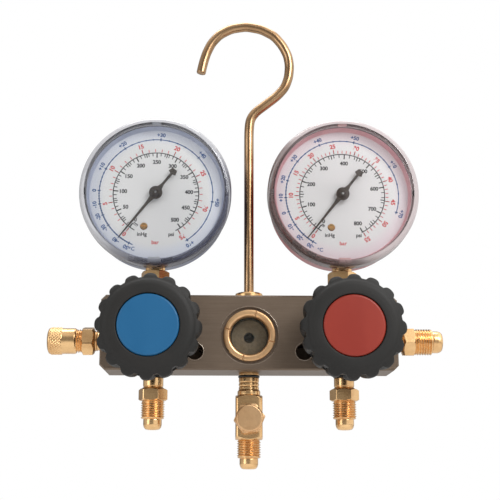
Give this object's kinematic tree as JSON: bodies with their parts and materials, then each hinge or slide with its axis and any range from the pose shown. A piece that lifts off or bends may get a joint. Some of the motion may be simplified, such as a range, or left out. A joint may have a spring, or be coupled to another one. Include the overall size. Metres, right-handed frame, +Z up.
{
  "type": "refrigerant manifold gauge",
  "caption": "Valve manifold with pressure gauges, sight glass, flare ports and a hanging hook, for charging and testing refrigeration systems.",
  "frame": {"origin": "seat of the hook: the lowest point of the inside of its crown, where it bears on a rail", "axes": "+Z up, +X to the right seen from the front, +Y from the front to the back"},
  "size_m": [0.2163, 0.068, 0.2573],
  "materials": {
    "block_anodised": "satin anodised, grey-brown",
    "brass": "machined, bright",
    "knob_rubber": "matt black",
    "cap_blue": "blue, semi-gloss",
    "cap_red": "red, semi-gloss",
    "case_blue": "blue lacquer",
    "case_red": "red lacquer",
    "lens_clear": "clear polycarbonate",
    "sight_glass_clear": "clear",
    "dial_white": "white, printed",
    "pointer_dark": "dark grey",
    "seal_black": "matt black",
    "steel": "plain",
    "tube_bronze": "phosphor bronze",
    "washer_copper": "copper"
  },
  "bodies": {
    "manifold": {"bourdon_tube_high": "tube_bronze", "bourdon_tube_low": "tube_bronze", "centre_port_tee": "brass", "gauge_case_high": "case_red", "gauge_case_low": "case_blue", "gauge_dial_high": "dial_white", "gauge_dial_low": "dial_white", "gauge_lens_high": "lens_clear", "gauge_lens_low": "lens_clear", "gauge_socket_high": "brass", "gauge_socket_low": "brass", "hook_collar": "brass", "hose_port_high": "brass", "hose_port_low": "brass", "manifold_block": "block_anodised", "movement_frame_high": "brass", "movement_frame_low": "brass", "movement_screws_high": "steel", "movement_screws_low": "steel", "side_port_high": "brass", "side_port_low": "brass", "sight_glass": "sight_glass_clear", "sight_glass_ring": "brass", "sight_glass_seal": "seal_black", "socket_washer_high": "washer_copper", "socket_washer_low": "washer_copper", "tube_tip_high": "brass", "tube_tip_low": "brass", "valve_bonnet_high": "brass", "valve_bonnet_low": "brass", "valve_core": "brass", "zero_screw_high": "brass", "zero_screw_low": "brass"},
    "hook": {"hook": "brass"},
    "side_port_cap": {"side_port_cap": "brass"},
    "centre_port_cap": {"centre_port_cap": "brass"},
    "valve_core_pin": {"valve_core_pin": "steel"},
    "low_piston": {"valve_piston_low": "steel"},
    "low_valve": {"valve_stem_low": "steel", "stem_seal_low": "seal_black", "knob_low": "knob_rubber", "knob_cap_low": "cap_blue", "knob_screw_low": "steel"},
    "low_pointer": {"gauge_pointer_low": "pointer_dark", "pointer_arbor_low": "steel"},
    "low_sector": {"sector_gear_low": "brass"},
    "low_link": {"movement_link_low": "brass"},
    "high_piston": {"valve_piston_high": "steel"},
    "high_valve": {"valve_stem_high": "steel", "stem_seal_high": "seal_black", "knob_high": "knob_rubber", "knob_cap_high": "cap_red", "knob_screw_high": "steel"},
    "high_pointer": {"gauge_pointer_high": "pointer_dark", "pointer_arbor_high": "steel"},
    "high_sector": {"sector_gear_high": "brass"},
    "high_link": {"movement_link_high": "brass"}
  },
  "joints": [
    {"name": "hook_swivel", "type": "hinge", "parent": "manifold", "child": "hook", "pos_m": [0, 0, -0.1599], "axis": [0, 0, 1], "continuous": true},
    {"name": "side_cap_off", "type": "slide", "parent": "manifold", "child": "side_port_cap", "axis": [-1, 0, 0], "range_m": [0, 0.03]},
    {"name": "centre_cap_off", "type": "slide", "parent": "manifold", "child": "centre_port_cap", "axis": [0, -1, 0], "range_m": [0, 0.02]},
    {"name": "core_pin_press", "type": "slide", "parent": "manifold", "child": "valve_core_pin", "axis": [0, 1, 0], "range_m": [0, 0.001], "stiffness_N_per_m": 300},
    {"name": "low_valve_travel", "type": "slide", "parent": "manifold", "child": "low_piston", "axis": [0, -1, 0], "range_m": [0, 0.00226]},
    {"name": "low_valve_turn", "type": "hinge", "parent": "low_piston", "child": "low_valve", "pos_m": [-0.052, -0.015, -0.1818], "axis": [0, -1, 0], "range_deg": [0, 540]},
    {"name": "low_pointer_turn", "type": "hinge", "parent": "manifold", "child": "low_pointer", "pos_m": [-0.052, -0.0122, -0.1018], "axis": [0, 1, 0], "range_deg": [-8.4, 293], "stiffness_Nm_per_rad": 0.0005},
    {"name": "low_sector_turn", "type": "hinge", "parent": "manifold", "child": "low_sector", "pos_m": [-0.052, -0.0048, -0.1186], "axis": [0, 1, 0], "range_deg": [-49.03, 1.6]},
    {"name": "low_link_turn", "type": "hinge", "parent": "low_sector", "child": "low_link", "pos_m": [-0.04427, -0.0048, -0.12067], "axis": [0, 1, 0], "range_deg": [-2.54, 71.58]},
    {"name": "high_valve_travel", "type": "slide", "parent": "manifold", "child": "high_piston", "axis": [0, -1, 0], "range_m": [0, 0.00226]},
    {"name": "high_valve_turn", "type": "hinge", "parent": "high_piston", "child": "high_valve", "pos_m": [0.052, -0.015, -0.1818], "axis": [0, -1, 0], "range_deg": [0, 540]},
    {"name": "high_pointer_turn", "type": "hinge", "parent": "manifold", "child": "high_pointer", "pos_m": [0.052, -0.0122, -0.1018], "axis": [0, 1, 0], "range_deg": [-5.4, 297], "stiffness_Nm_per_rad": 0.0005},
    {"name": "high_sector_turn", "type": "hinge", "parent": "manifold", "child": "high_sector", "pos_m": [0.052, -0.0048, -0.1186], "axis": [0, 1, 0], "range_deg": [-49.7, 1.1]},
    {"name": "high_link_turn", "type": "hinge", "parent": "high_sector", "child": "high_link", "pos_m": [0.05973, -0.0048, -0.12067], "axis": [0, 1, 0], "range_deg": [-1.81, 72.55]}
  ],
  "couplings": [
    {"joint": "low_valve_travel", "follows": "low_valve_turn", "m_per_rad": 0.00023873},
    {"joint": "low_sector_turn", "follows": "low_pointer_turn", "ratio": -0.16667},
    {"joint": "low_link_turn", "follows": "low_pointer_turn", "ratio": 0.2426},
    {"joint": "high_valve_travel", "follows": "high_valve_turn", "m_per_rad": 0.00023873},
    {"joint": "high_sector_turn", "follows": "high_pointer_turn", "ratio": -0.16667},
    {"joint": "high_link_turn", "follows": "high_pointer_turn", "ratio": 0.2426}
  ]
}
